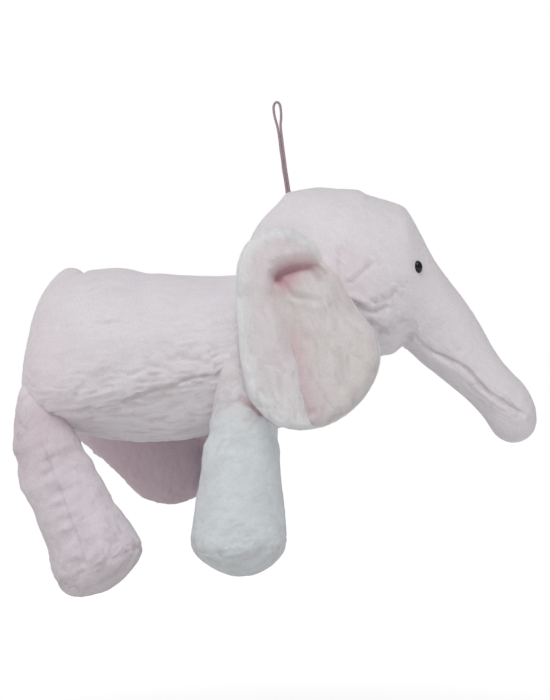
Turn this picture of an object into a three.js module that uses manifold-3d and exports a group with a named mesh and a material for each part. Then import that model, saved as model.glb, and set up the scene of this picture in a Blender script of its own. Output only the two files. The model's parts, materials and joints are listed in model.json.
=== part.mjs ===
// A stuffed elephant: short-pile fabric panels sewn round fibre stuffing, hung from a cord loop.
// Millimetres. It faces +X, +Z is up, and its right side is -Y. The origin is the top of the loop.
import * as THREE from 'three';
import { mergeVertices } from 'three/addons/utils/BufferGeometryUtils.js';
import Module from 'manifold-3d';

const wasm = await Module();
wasm.setup();
const { Manifold, Mesh: SolidMesh } = wasm;

// ---------------------------------------------------------------- driving dimensions
const SKIN = 3; // pile fabric with its backing
const GAP = 0.3; // between pieces that touch
const SWING_GAP = 1.4; // between a moving piece and the pocket it turns in

const CHEST = { x: -14, z: -181, radius: 56 }; // round chest, and the point that the torso nods about
const NOD = 10; // degrees each way
const BELLY_SEAM = { x: -159, z: -224, slope: 0.24 }; // the belly panel's side seam

const TRUNK_ROOT = { x: 110.8, z: -159.2, down: 52.6 }; // where the trunk bends, and its slope in degrees
const TRUNK_BALL = { radius: 28, halfWidth: 24.5, rim: 6 };
const UNDER_SEAM = { x: 0, z: -16, slope: 0.33 }; // the trunk's side seam, along its own axis

const LEG = { thigh: 24, seam: 104, seamRadius: 32.5, length: 124, flat: 9 };
const LEG_TAPER = [[30, 24.5], [64.5, 29], [91.5, 33.5]]; // [down the leg, radius]
const SOLE_DOME = [27, 54]; // degrees round the sole, from its seam towards its flat middle
const SHOULDER = { x: -26, y: 44, z: -212.5 };
const HIP = { x: -160, y: 36, z: -231.5 };
const FAR_HIP = { x: -157.5, y: 36, z: -219.5 }; // the left hind leg's, pulled up by its forward swing
// reach is how far down the leg the torso can touch it, and flare how much wider the leg is there.
// A swing ends where the leg would meet the next leg on its side.
const LEG_POSES = {
  front_right: { at: SHOULDER, side: -1, forward: 0, outward: 0, swing: [-20, 25], reach: 34, flare: 1 },
  front_left: { at: SHOULDER, side: 1, forward: 0, outward: 0, swing: [-5, 25], reach: 34, flare: 1 },
  hind_right: { at: HIP, side: -1, forward: 21, outward: 3, swing: [-25, 25], reach: 34, flare: 1 },
  hind_left: { at: FAR_HIP, side: 1, forward: 59, outward: 26, swing: [-45, 3], reach: 80, flare: 7 },
};

const EAR = { hingeY: 57.5, hingeZ: -107, slant: 7 };
const EAR_BACK = { thickness: 4.5, bevel: 1.5 };
const EAR_ROLL = { thickness: 8.5, bevel: 3 }; // the back fabric, rolled over the lining
const LINING = { thickness: 7, bevel: 3 };

const EYE = { x: 99, z: -121, halfWidth: 3.2, halfHeight: 4.4, depth: 2.6, lift: 30 };
const SHANK = { radius: 1.3, length: 8.5 };
const WASHER = { radius: 5, thickness: 1.2, depth: 6 };

const CORD = 1.8; // diameter of the loop's cord
const CORD_SIDES = 8;

const AROUND = 18; // sides of a torso, head or trunk section
const AROUND_LEG = 14;
const AROUND_EYE = 10;
const BALL_RINGS = 10;
const CHEST_RINGS = 12;
const BIG = 600; // wider than the toy, for the boxes that cut it

// ---------------------------------------------------------------- materials
const plush = (color) => new THREE.MeshStandardMaterial({ color, roughness: 0.95, metalness: 0 });
const paleFabric = plush(0xe6dfe3);
const pinkFabric = plush(0xdccbd3);
const whiteFabric = plush(0xe3e5e6);
const liningFabric = plush(0xe6d8d7);
const soleFabric = plush(0xdedad8);
const fibre = plush(0xf6f6f4);
const cordPink = new THREE.MeshStandardMaterial({ color: 0xd98fa5, roughness: 0.5, metalness: 0 });
const blackPlastic = new THREE.MeshStandardMaterial({ color: 0x0c0d10, roughness: 0.12, metalness: 0 });
const clearPlastic = new THREE.MeshStandardMaterial({ color: 0xd8d8d4, roughness: 0.4, metalness: 0 });

// ---------------------------------------------------------------- helpers
const radians = THREE.MathUtils.degToRad;

function solid(geometry) {
  const bare = geometry.clone();
  for (const name of Object.keys(bare.attributes)) {
    if (name !== 'position') bare.deleteAttribute(name);
  }
  const merged = mergeVertices(bare, 1e-4);
  return new Manifold(new SolidMesh({
    numProp: 3,
    vertProperties: Float32Array.from(merged.attributes.position.array),
    triVerts: Uint32Array.from(merged.index.array),
  }));
}

// The geometry of a cut solid, without the slivers of no volume that a cut can leave beside it.
function geometryOf(cut) {
  const bodies = cut.decompose().sort((a, b) => b.volume() - a.volume());
  const mesh = bodies[0].getMesh();
  const geometry = new THREE.BufferGeometry();
  geometry.setAttribute('position', new THREE.BufferAttribute(mesh.vertProperties, 3));
  geometry.setIndex(new THREE.BufferAttribute(mesh.triVerts, 1));
  geometry.computeVertexNormals();
  return geometry;
}

function piece(name, shape, material) {
  const geometry = shape.isBufferGeometry ? shape : geometryOf(shape);
  const mesh = new THREE.Mesh(geometry, material);
  mesh.name = name;
  return mesh;
}

function mirrored(geometry) {
  const copy = mergeVertices(geometry.clone());
  copy.scale(1, -1, 1);
  const corners = copy.index.array;
  for (let i = 0; i < corners.length; i += 3) {
    [corners[i], corners[i + 1]] = [corners[i + 1], corners[i]];
  }
  copy.computeVertexNormals();
  return copy;
}

// A closed form through oval sections, each [top x, top z, bottom x, bottom z, half width], rear to front.
// shrink makes it smaller by that distance all round.
function stuffedForm(stations, shrink) {
  const centres = stations.map(([topX, topZ, bottomX, bottomZ]) => (
    new THREE.Vector2((topX + bottomX) / 2, (topZ + bottomZ) / 2)
  ));
  const middle = centres[0].clone().add(centres.at(-1)).multiplyScalar(0.5);
  const inwards = 1 - shrink / centres[0].distanceTo(middle);
  const geometry = new THREE.SphereGeometry(1, AROUND, stations.length - 1);
  stations.forEach(([topX, topZ, bottomX, bottomZ, half], row) => {
    const up = new THREE.Vector2((topX - bottomX) / 2, (topZ - bottomZ) / 2);
    up.setLength(Math.max(up.length() - shrink, 0));
    const centre = centres[row].clone().sub(middle).multiplyScalar(inwards).add(middle);
    const width = Math.max(half - shrink, 0);
    for (let column = 0; column <= AROUND; column += 1) {
      const turn = (2 * Math.PI * (column % AROUND)) / AROUND;
      const x = centre.x + up.x * Math.cos(turn);
      const z = centre.y + up.y * Math.cos(turn);
      geometry.attributes.position.setXYZ(row * (AROUND + 1) + column, x, width * Math.sin(turn), z);
    }
  });
  return geometry;
}

// Box whose top face passes through a point and falls towards -X by the slope.
function halfSpaceBelow({ x, z, slope }) {
  const box = new THREE.BoxGeometry(BIG, BIG, BIG);
  box.translate(0, 0, -BIG / 2);
  box.rotateY(-Math.atan(slope));
  return box.translate(x, 0, z);
}

function sideBox(side, offset) {
  return solid(new THREE.BoxGeometry(BIG, BIG, BIG).translate(0, side * (BIG / 2 + offset), 0));
}

// ---------------------------------------------------------------- torso
const chestArc = [20, 40, 60, 76].map((degrees) => {
  const x = CHEST.x + CHEST.radius * Math.sin(radians(degrees));
  const rise = CHEST.radius * Math.cos(radians(degrees));
  return [x, CHEST.z + rise, x, CHEST.z - rise, rise];
});

const torsoForm = (shrink) => stuffedForm([
  [-181, -186, -181, -186, 0],
  [-177.5, -158, -182.5, -212, 30],
  [-168, -134, -173, -227, 46],
  [-155, -123, -158, -236, 54.5],
  [-134, -121.5, -134, -242, 58.5],
  [-104, -122.5, -104, -244.5, 60],
  [-72, -125, -72, -243.5, 60],
  [-40, -125.8, -40, -239, 58],
  [CHEST.x, CHEST.z + CHEST.radius, CHEST.x, CHEST.z - CHEST.radius, CHEST.radius],
  ...chestArc,
  [CHEST.x + CHEST.radius, CHEST.z, CHEST.x + CHEST.radius, CHEST.z, 0],
], shrink);

// ---------------------------------------------------------------- head and trunk
// The last sections fan out round the crease under the chin, where the trunk leaves the head.
const headForm = (shrink) => stuffedForm([
  [-22, -118, -22, -118, 0],
  [-19, -99, -18, -138, 24],
  [-10, -85, -8, -154, 39],
  [9, -68.5, 12, -171, 51],
  [27, -62.6, 34, -181, 55.5],
  [44, -63.3, 56, -185, 55],
  [61, -66, 75, -185.5, 51],
  [79, -72, 85, -182, 45],
  [91, -78.5, 87, -177, 40],
  [103, -97.5, 87.5, -175.5, 35.5],
  [114, -116, 88, -175, 31],
  [127, -134, 88.5, -175.5, 27],
  [137, -148, 95, -181, 24],
  [120, -171, 120, -171, 0],
], shrink);

// Sections along the trunk's own axis, each [along, top, bottom, half width].
const trunkBallArc = [-90, -68, -45, -22, 0].map((degrees) => {
  const height = TRUNK_BALL.radius * Math.cos(radians(degrees));
  const half = TRUNK_BALL.halfWidth * Math.cos(radians(degrees));
  return [TRUNK_BALL.radius * Math.sin(radians(degrees)), height, -height, half];
});
const trunkForm = (shrink) => stuffedForm([
  ...trunkBallArc,
  [25, 26, -21.6, 21.5],
  [50, 23.8, -15.8, 19],
  [76, 24.8, -12.5, 18],
  [92, 22.2, -11.5, 16.5],
  [102, 17, -7.5, 12],
  [107.5, 3.5, 3.5, 0],
].map(([along, top, bottom, half]) => [along, top, along, bottom, half]), shrink);

const placeTrunk = (geometry) => geometry.rotateY(radians(TRUNK_ROOT.down))
  .translate(TRUNK_ROOT.x, 0, TRUNK_ROOT.z);

// What the trunk needs free in the head as it bends: the ball at its root, and all beyond the head's rim.
function trunkSpace() {
  const ball = new THREE.SphereGeometry(1, AROUND, BALL_RINGS).scale(
    TRUNK_BALL.radius + SWING_GAP,
    TRUNK_BALL.halfWidth + SWING_GAP,
    TRUNK_BALL.radius + SWING_GAP,
  );
  const beyond = new THREE.BoxGeometry(BIG, BIG, BIG).translate(BIG / 2 - TRUNK_BALL.rim, 0, 0);
  return solid(placeTrunk(ball)).add(solid(placeTrunk(beyond)));
}

// What the torso needs free as it nods: its round chest, and its back at the top of the nod.
function nodSpace() {
  const radius = CHEST.radius + SWING_GAP;
  const ball = new THREE.SphereGeometry(radius, AROUND, CHEST_RINGS);
  const back = new THREE.BoxGeometry(BIG, BIG, BIG).translate(-BIG / 2, 0, radius - BIG / 2);
  back.rotateY(radians(NOD)).translate(CHEST.x, 0, CHEST.z);
  return solid(ball.translate(CHEST.x, 0, CHEST.z)).add(solid(back));
}

// ---------------------------------------------------------------- legs, each about its own hip
const arc = (radius, from, to, steps) => Array.from({ length: steps + 1 }, (_, i) => {
  const angle = radians(from + ((to - from) * i) / steps);
  return [radius * Math.sin(angle), radius * Math.cos(angle)];
});

function legOutline(shrink) {
  return [
    ...arc(LEG.thigh - shrink, 0, 90, 3),
    ...LEG_TAPER.map(([down, radius]) => [radius - shrink, -down]),
    [LEG.seamRadius - shrink, -LEG.seam],
  ];
}

function soleOutline(shrink, top) {
  const radius = LEG.seamRadius - shrink;
  const drop = LEG.length - LEG.seam - shrink;
  return [
    [radius, -top],
    ...SOLE_DOME.map(radians).map((turn) => [radius * Math.cos(turn), -LEG.seam - drop * Math.sin(turn)]),
    [LEG.flat, -LEG.length + shrink],
    [0, -LEG.length + shrink],
  ];
}

// Turned about the leg's axis, which ends up along Z, from a closed or axis-to-axis outline.
function turned(outline) {
  const points = outline.map(([r, z]) => new THREE.Vector2(r, z));
  return new THREE.LatheGeometry(points.reverse(), AROUND_LEG).rotateX(Math.PI / 2);
}

const legCover = turned([...legOutline(0), ...legOutline(SKIN).reverse()]);
const legSole = turned([...soleOutline(SKIN, LEG.seam + GAP).reverse(), ...soleOutline(0, LEG.seam + GAP)]);
const legFill = turned([...legOutline(SKIN + GAP), ...soleOutline(SKIN + GAP, LEG.seam + GAP)]);

function legGroup(pose) {
  const group = new THREE.Group();
  group.position.set(pose.at.x, pose.side * pose.at.y, pose.at.z);
  group.rotation.order = 'YXZ';
  group.rotation.set(radians(pose.side * pose.outward), radians(-pose.forward), 0);
  return group;
}

// The room that a leg needs in the torso: a ball round its hinge, and a fan as far as the torso reaches.
function swingSpace(pose) {
  const radius = LEG.thigh + SWING_GAP;
  const [back, front] = pose.swing.map((angle) => radians(pose.forward + angle));
  const fan = new THREE.Shape();
  const reach = (angle, along, aside) => [
    along * Math.sin(angle) + aside * Math.cos(angle),
    -along * Math.cos(angle) + aside * Math.sin(angle),
  ];
  fan.moveTo(...reach(back, 0, -radius));
  fan.lineTo(...reach(back, pose.reach, -radius - pose.flare));
  fan.lineTo(...reach((back + front) / 2, pose.reach + radius, 0));
  fan.lineTo(...reach(front, pose.reach, radius + pose.flare));
  fan.lineTo(...reach(front, 0, radius));
  const width = 2 * radius;
  const slab = new THREE.ExtrudeGeometry(fan, { depth: width, bevelEnabled: false });
  slab.translate(0, 0, -width / 2).rotateX(Math.PI / 2);
  const ball = new THREE.SphereGeometry(radius, AROUND_LEG, BALL_RINGS);
  const parts = [slab, ball].map((shape) => shape.translate(pose.at.x, pose.side * pose.at.y, pose.at.z));
  return solid(parts[0]).add(solid(parts[1]));
}

// ---------------------------------------------------------------- ears, each about its own hinge
// Outlines of the right ear as it hangs, [x, z]: from its lowest point up the rear edge and over the top.
const earEdge = [
  [24, -234], [15, -236], [-1, -232], [-10.5, -224], [-21, -211], [-25, -186], [-27.2, -160],
  [-28.4, -128], [-25, -112], [-17, -102], [-7, -97], [5, -95], [20, -99.5], [32, -107], [38.5, -116],
];
const earFront = [
  [46, -135], [55.4, -149], [66, -166], [70.2, -182], [68.5, -196], [62, -210], [48.6, -224], [35, -231],
];
const valley = [
  [34, -126], [25, -120.5], [13, -120.5], [2, -127], [3, -140], [6, -154], [12, -179], [17.4, -206],
];
const lobeEdge = [
  [26.5, -232], [35, -229], [48, -222.3], [60.5, -209], [66.8, -195.5], [68.4, -182], [64.3, -166.5],
  [54, -150], [44.5, -136], [36, -127.5], [25, -122.3], [14, -122.3], [4, -128.3], [4.8, -140],
  [7.8, -154], [13.8, -179], [19.2, -206],
];

function earSlab(outline, { thickness, bevel }, from) {
  const shape = new THREE.Shape(outline.map(([x, z]) => new THREE.Vector2(x, z - EAR.hingeZ)));
  const slab = new THREE.ExtrudeGeometry(shape, {
    depth: thickness - 2 * bevel,
    bevelThickness: bevel,
    bevelSize: bevel,
    bevelOffset: -bevel,
    bevelSegments: 1,
  });
  return slab.translate(0, 0, from + bevel).rotateX(Math.PI / 2);
}

const roll = { thickness: EAR_BACK.thickness + EAR_ROLL.thickness, bevel: EAR_ROLL.bevel };
const earBack = geometryOf(
  solid(earSlab([...earEdge, ...earFront], EAR_BACK, 0))
    .add(solid(earSlab([...earEdge, ...valley], roll, 0))),
);
const earLining = earSlab(lobeEdge, LINING, EAR_BACK.thickness + GAP);

// ---------------------------------------------------------------- eyes, each on its own stem
// The bead looks along local -Y, and its stem goes inwards along +Y. extra makes both wider.
function beadSolid(extra) {
  const bead = new THREE.SphereGeometry(1, AROUND_EYE, BALL_RINGS);
  bead.scale(EYE.halfWidth + extra, EYE.depth + extra, EYE.halfHeight + extra);
  const radius = SHANK.radius + extra;
  const stem = new THREE.CylinderGeometry(radius, radius, SHANK.length, AROUND_EYE);
  return solid(bead).add(solid(stem.translate(0, SHANK.length / 2, 0)));
}
const washerOutline = [
  [SHANK.radius + GAP, 0],
  [WASHER.radius, 0],
  [WASHER.radius, WASHER.thickness],
  [SHANK.radius + GAP, WASHER.thickness],
  [SHANK.radius + GAP, 0],
].map(([r, y]) => new THREE.Vector2(r, y));
const eyeWasher = new THREE.LatheGeometry(washerOutline, AROUND_EYE).translate(0, WASHER.depth, 0);

const headSurface = new THREE.Mesh(headForm(0), new THREE.MeshBasicMaterial());
const fromTheRight = new THREE.Raycaster(new THREE.Vector3(EYE.x, -BIG, EYE.z), new THREE.Vector3(0, 1, 0));
const eyeY = -fromTheRight.intersectObject(headSurface)[0].point.y;

function eyeGroup(side) {
  const group = new THREE.Group();
  const slope = radians(90 - TRUNK_ROOT.down);
  const lift = radians(EYE.lift);
  const outward = new THREE.Vector3(Math.cos(slope), 0, Math.sin(slope)).multiplyScalar(Math.sin(lift));
  outward.y = -Math.cos(lift);
  const turn = new THREE.Quaternion().setFromUnitVectors(new THREE.Vector3(0, -1, 0), outward);
  group.position.set(EYE.x, side * eyeY, EYE.z);
  group.quaternion.set(-side * turn.x, turn.y, -side * turn.z, turn.w); // mirrored on the left
  return group;
}

// ---------------------------------------------------------------- hanging loop
// The cord's centre line, [x, z]: up from the crown, round the eye at the top, and down beside itself.
const loopRoute = [
  [7.2, -67.4], [6.4, -61.9], [5.4, -55.4], [4.3, -49], [3.6, -42.5], [2.6, -36], [1.9, -29.5],
  [1.0, -23], [-0.3, -17.6], [-1.5, -12.2], [-2.2, -7.9], [-2.4, -4.4], [-1.6, -1.9], [0, -0.9],
  [1.6, -1.9], [2.5, -4.4], [2.9, -7.9], [3.1, -12.2], [3.2, -17.6], [3.3, -23], [4.1, -29.5],
  [4.8, -36], [5.8, -42.5], [6.5, -49], [7.6, -55.4], [8.6, -61.9], [9.4, -66.6],
];
const loopCurve = new THREE.CatmullRomCurve3(loopRoute.map(([x, z]) => new THREE.Vector3(x, 0, z)));
const cordSection = new THREE.Shape(Array.from({ length: CORD_SIDES }, (_, i) => {
  const turn = (2 * Math.PI * (i + 0.5)) / CORD_SIDES;
  return new THREE.Vector2(Math.cos(turn), Math.sin(turn)).multiplyScalar(CORD / 2);
}));
const loopTube = new THREE.ExtrudeGeometry(cordSection, {
  steps: 2 * loopRoute.length,
  extrudePath: loopCurve,
});

// ---------------------------------------------------------------- assembly
const elephant = new THREE.Group();
const SIDES = { right: -1, left: 1 };

const legFabric = (name) => (name.startsWith('front') ? whiteFabric : pinkFabric);
let legSpace = null;
for (const [name, pose] of Object.entries(LEG_POSES)) {
  const space = swingSpace(pose);
  legSpace = legSpace ? legSpace.add(space) : space;
  const leg = legGroup(pose);
  leg.add(
    piece(`leg_cover_${name}`, legCover, legFabric(name)),
    piece(`leg_sole_${name}`, legSole, soleFabric),
    piece(`leg_stuffing_${name}`, legFill, fibre),
  );
  elephant.add(leg);
}

const torsoShell = solid(torsoForm(0)).subtract(solid(torsoForm(SKIN))).subtract(legSpace);
const below = solid(halfSpaceBelow(BELLY_SEAM));
const aboveSeam = torsoShell.subtract(solid(halfSpaceBelow({ ...BELLY_SEAM, z: BELLY_SEAM.z + GAP })));
elephant.add(
  piece('belly_panel', torsoShell.intersect(below), paleFabric),
  piece('torso_stuffing', solid(torsoForm(SKIN + GAP)).subtract(legSpace), fibre),
);

const headSpace = trunkSpace().add(nodSpace());
const headShell = solid(headForm(0)).subtract(solid(headForm(SKIN))).subtract(headSpace);
let headFill = solid(headForm(SKIN + GAP)).subtract(headSpace);
for (const [side, sign] of Object.entries(SIDES)) {
  const turnedOver = (shape) => (sign > 0 ? mirrored(shape) : shape);
  const eye = eyeGroup(sign);
  eye.add(
    piece(`eye_bead_${side}`, turnedOver(geometryOf(beadSolid(0))), blackPlastic),
    piece(`eye_washer_${side}`, turnedOver(eyeWasher), clearPlastic),
  );
  elephant.add(eye);
  eye.updateMatrixWorld();

  const half = sideBox(sign, GAP / 2);
  const room = turnedOver(geometryOf(beadSolid(GAP))).applyMatrix4(eye.matrixWorld);
  const washerRoom = turnedOver(
    new THREE.CylinderGeometry(WASHER.radius + GAP, WASHER.radius + GAP, WASHER.depth, AROUND_EYE)
      .translate(0, WASHER.depth / 2 + SKIN - GAP, 0),
  ).applyMatrix4(eye.matrixWorld);
  headFill = headFill.subtract(solid(room)).subtract(solid(washerRoom));
  elephant.add(
    piece(`torso_panel_${side}`, aboveSeam.intersect(half), paleFabric),
    piece(`head_panel_${side}`, headShell.intersect(half).subtract(solid(room)), paleFabric),
  );

  const ear = new THREE.Group();
  ear.position.set(0, sign * EAR.hingeY, EAR.hingeZ);
  ear.rotation.x = radians(sign * EAR.slant);
  ear.add(
    piece(`ear_back_${side}`, turnedOver(earBack), whiteFabric),
    piece(`ear_lining_${side}`, turnedOver(earLining), liningFabric),
  );
  elephant.add(ear);
}
elephant.add(piece('head_stuffing', headFill, fibre));

const trunkShell = solid(trunkForm(0)).subtract(solid(trunkForm(SKIN)));
const trunkAbove = trunkShell.subtract(solid(halfSpaceBelow({ ...UNDER_SEAM, z: UNDER_SEAM.z + GAP })));
const trunk = new THREE.Group();
trunk.add(
  piece('trunk_panel_right', trunkAbove.intersect(sideBox(-1, GAP / 2)), paleFabric),
  piece('trunk_panel_left', trunkAbove.intersect(sideBox(1, GAP / 2)), paleFabric),
  piece('trunk_under_panel', trunkShell.intersect(solid(halfSpaceBelow(UNDER_SEAM))), paleFabric),
  piece('trunk_stuffing', trunkForm(SKIN + GAP), fibre),
);
trunk.rotation.y = radians(TRUNK_ROOT.down);
trunk.position.set(TRUNK_ROOT.x, 0, TRUNK_ROOT.z);
elephant.add(trunk, piece('hanging_loop', loopTube, cordPink));

export default elephant;
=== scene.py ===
"""A pale pink stuffed elephant that hangs from a cord loop: matted pile fabric over soft stuffing.

The torso, the head with its trunk, and each leg are closed skins lofted through a few oval
sections. Each ear is two closed pads over an outline. All are then sculpted in code: sewn seams
with their puckers, folds, dents, and the matted pile itself. Places and sizes are in metres; the
sections and lines are written in millimetres and scaled by MM.
"""

import json
import math

import bpy
import numpy as np
from mathutils import Matrix, Vector
from mathutils.bvhtree import BVHTree


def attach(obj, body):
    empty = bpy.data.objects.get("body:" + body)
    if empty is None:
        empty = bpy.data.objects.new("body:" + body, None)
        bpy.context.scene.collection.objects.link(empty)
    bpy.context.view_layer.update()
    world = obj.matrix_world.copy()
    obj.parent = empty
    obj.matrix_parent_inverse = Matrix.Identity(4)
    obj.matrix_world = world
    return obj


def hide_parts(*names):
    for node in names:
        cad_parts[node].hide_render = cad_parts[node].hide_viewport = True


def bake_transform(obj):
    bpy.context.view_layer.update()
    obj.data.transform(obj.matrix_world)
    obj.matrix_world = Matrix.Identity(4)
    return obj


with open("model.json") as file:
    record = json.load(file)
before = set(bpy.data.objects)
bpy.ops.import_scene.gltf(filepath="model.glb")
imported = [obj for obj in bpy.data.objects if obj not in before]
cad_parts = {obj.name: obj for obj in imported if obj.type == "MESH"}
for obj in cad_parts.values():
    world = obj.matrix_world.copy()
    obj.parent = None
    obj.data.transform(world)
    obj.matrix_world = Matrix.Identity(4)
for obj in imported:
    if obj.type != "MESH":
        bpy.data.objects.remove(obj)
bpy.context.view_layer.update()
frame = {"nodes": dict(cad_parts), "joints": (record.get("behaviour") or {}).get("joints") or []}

MM = 0.001
GRID = 0.00105  # spacing of the points of a skin
SIDES = {"right": -1, "left": 1}
HINGES = {joint["child"]: joint["pos_m"] for joint in frame["joints"]}  # where each body is joined on

# ---------------------------------------------------------------- noise
LOW_BITS = np.uint64(0xFFFFFFFF)
CELL_SHIFT = 4096  # keeps every cell's number above 0


def scatter(ix, iy, iz, seed):
    """A number from 0 to 1 for each whole-number point. It looks random, and is the same each run."""
    bits = ix * np.uint64(374761393) + iy * np.uint64(668265263) + iz * np.uint64(2246822519)
    bits = (bits + np.uint64(seed * 3266489917)) & LOW_BITS
    bits = ((bits ^ (bits >> np.uint64(15))) * np.uint64(2654435761)) & LOW_BITS
    bits = ((bits ^ (bits >> np.uint64(13))) * np.uint64(1274126177)) & LOW_BITS
    return ((bits ^ (bits >> np.uint64(16))) & LOW_BITS).astype(np.float64) / float(LOW_BITS)


def lattice(p):
    """The cell that each point is in, and how far across it the point lies."""
    base = np.floor(p)
    return (base + CELL_SHIFT).astype(np.uint64), p - base


def noise(p, seed):
    """Smooth noise from -1 to 1 with bumps about one unit wide."""
    cell, part = lattice(p)
    part = part * part * (3 - 2 * part)
    total = np.zeros(len(p))
    for corner in np.ndindex(2, 2, 2):
        weight = np.ones(len(p))
        for axis, far in enumerate(corner):
            weight = weight * (part[:, axis] if far else 1 - part[:, axis])
        at = [cell[:, axis] + np.uint64(far) for axis, far in enumerate(corner)]
        total += weight * scatter(*at, seed)
    return total * 2 - 1


def tufts(p, seed):
    """Rounded lumps about one unit wide with sharp valleys between, from about -1 to 1."""
    cell, part = lattice(p)
    nearest = np.full(len(p), np.inf)
    for step in np.ndindex(3, 3, 3):
        at = [cell[:, axis] + np.uint64(s) - np.uint64(1) for axis, s in enumerate(step)]
        gap = np.zeros(len(p))
        for axis, s in enumerate(step):
            gap += (s - 1 + scatter(*at, seed + 7 * axis) - part[:, axis]) ** 2
        nearest = np.minimum(nearest, gap)
    return 1 - 2.1 * np.sqrt(nearest)


# ---------------------------------------------------------------- curves and distances
FINE_STEPS = 2000  # points on a curve before it is divided evenly


def path_length(path):
    return float(np.linalg.norm(np.diff(path, axis=0), axis=1).sum())


def smooth_through(rows, count, closed=False):
    """count rows evenly spaced along the smooth curve through rows; the end rows only steer it."""
    rows = np.asarray(rows, float)
    if closed:
        rows = np.vstack([rows[-1:], rows, rows[:2]])
    steps = np.linalg.norm(np.diff(rows, axis=0), axis=1) ** 0.5
    knots = np.concatenate([[0], np.cumsum(steps)])
    slope = (rows[2:] - rows[:-2]) / (knots[2:] - knots[:-2])[:, None]
    fine = np.linspace(knots[1], knots[-2], FINE_STEPS)
    span = np.clip(np.searchsorted(knots, fine, side="right") - 1, 1, len(rows) - 3)
    width = (knots[span + 1] - knots[span])[:, None]
    part = ((fine - knots[span])[:, None]) / width
    curve = (
        (2 * part**3 - 3 * part**2 + 1) * rows[span]
        + (part**3 - 2 * part**2 + part) * width * slope[span - 1]
        + (3 * part**2 - 2 * part**3) * rows[span + 1]
        + (part**3 - part**2) * width * slope[span]
    )
    run = np.concatenate([[0], np.cumsum(np.linalg.norm(np.diff(curve, axis=0), axis=1))])
    wanted = np.linspace(0, run[-1], count, endpoint=not closed)
    return np.stack([np.interp(wanted, run, curve[:, k]) for k in range(rows.shape[1])], 1)


def line(points, count=24):
    """A smooth open line, in metres, through a few points given in millimetres."""
    p = np.asarray(points, float) * MM
    p = np.vstack([2 * p[0] - p[1], p, 2 * p[-1] - p[-2]])
    return smooth_through(p, count)


def closed_line(points, count=160):
    """A smooth closed outline, in metres, through a few points given in millimetres."""
    return smooth_through(np.asarray(points, float) * MM, count, closed=True)


def joined(outline):
    """A closed outline with its first point repeated at its end."""
    return np.vstack([outline, outline[:1]])


def nearest_on(path, x, z):
    """Distance from (x, z) to a path, how far along it the nearest point is, and on which side."""
    best = np.full(len(x), np.inf)
    along = np.zeros(len(x))
    side = np.zeros(len(x))
    done = 0.0
    for (ax, az), (bx, bz) in zip(path[:-1], path[1:]):
        dx, dz = bx - ax, bz - az
        length = math.hypot(dx, dz)
        share = np.clip(((x - ax) * dx + (z - az) * dz) / length**2, 0, 1)
        gap = np.hypot(x - ax - share * dx, z - az - share * dz)
        near = gap < best
        best[near] = gap[near]
        along[near] = (done + share * length)[near]
        side[near] = np.sign(dx * (z - az) - dz * (x - ax))[near]
        done += length
    return best, along, side


def distance_to(path, x, z):
    return nearest_on(path, x, z)[0]


def inside(path, x, z):
    """Whether (x, z) is in a closed outline, as a line from it then crosses an odd number of edges."""
    odd = np.zeros(len(x), bool)
    for (ax, az), (bx, bz) in zip(path, np.roll(path, -1, axis=0)):
        if az != bz:
            crosses = (az > z) != (bz > z)
            odd ^= crosses & (x < (bx - ax) * (z - az) / (bz - az) + ax)
    return odd


def depth_in(path, x, z):
    """How deep (x, z) lies inside a closed outline; negative outside it."""
    gap = distance_to(joined(path), x, z)
    return np.where(inside(path, x, z), gap, -gap)


def bell(distance, width):
    """1 at no distance, and near 0 from twice the width."""
    return np.exp(-((distance / width) ** 2))


def rounded(depth, radius):
    """A quarter-round edge: 0 at the edge, 1 from the radius inwards."""
    short = 1 - np.clip(depth / radius, 0, 1)
    return np.sqrt(1 - short * short)


def ramp(value, start, end):
    """A smooth step: 0 up to start, 1 from end on."""
    share = np.clip((value - start) / (end - start), 0, 1)
    return share * share * (3 - 2 * share)

# ---------------------------------------------------------------- meshes
def grid_faces(rings, around):
    """Faces of rings x around points with a single point at each end, numbered first and last."""
    column = np.arange(around)
    after = (column + 1) % around
    first, last = 0, rings * around + 1
    faces = [(first, 1 + a, 1 + b) for a, b in zip(after, column)]
    for ring in range(rings - 1):
        low, high = 1 + ring * around, 1 + (ring + 1) * around
        faces += zip(low + column, low + after, high + after, high + column)
    low = 1 + (rings - 1) * around
    faces += [(last, low + a, low + b) for a, b in zip(column, after)]
    return [tuple(int(v) for v in face) for face in faces]
def new_mesh(name, points, faces):
    """A smooth closed mesh, its faces turned outwards."""
    a, b, c = (points[[face[k] for face in faces]] for k in (0, 1, 2))
    if np.einsum("ij,ij->i", a - points.mean(axis=0), np.cross(b - a, c - a)).sum() < 0:
        faces = [face[::-1] for face in faces]
    mesh = bpy.data.meshes.new(name)
    mesh.from_pydata(points.tolist(), [], faces)
    mesh.polygons.foreach_set("use_smooth", np.ones(len(mesh.polygons), bool))
    mesh.update()
    piece = bpy.data.objects.new(name, mesh)
    bpy.context.scene.collection.objects.link(piece)
    return piece


def points_of(piece):
    co = np.zeros(len(piece.data.vertices) * 3, np.float32)
    piece.data.vertices.foreach_get("co", co)
    return co.reshape(-1, 3).astype(float)
def normals_of(piece):
    normals = np.zeros(len(piece.data.vertices) * 3, np.float32)
    piece.data.vertex_normals.foreach_get("vector", normals)
    return normals.reshape(-1, 3).astype(float)


def set_points(piece, points):
    piece.data.vertices.foreach_set("co", points.astype(np.float32).ravel())
    piece.data.update()


def push(piece, amount):
    """Moves each point along its normal."""
    set_points(piece, points_of(piece) + normals_of(piece) * amount[:, None])

def paint(piece, name, values):
    """Keeps a number at each point, for the material to read."""
    layer = piece.data.attributes.new(name, "FLOAT", "POINT")
    layer.data.foreach_set("value", values.astype(np.float32))


def dress(piece, material, slot, fill, *nodes):
    """Gives a stuffed piece its material, and hides the solids it replaces; how full it is, fill, is not
    used.
    """
    piece.data.materials.append(material)
    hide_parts(*nodes)


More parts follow.
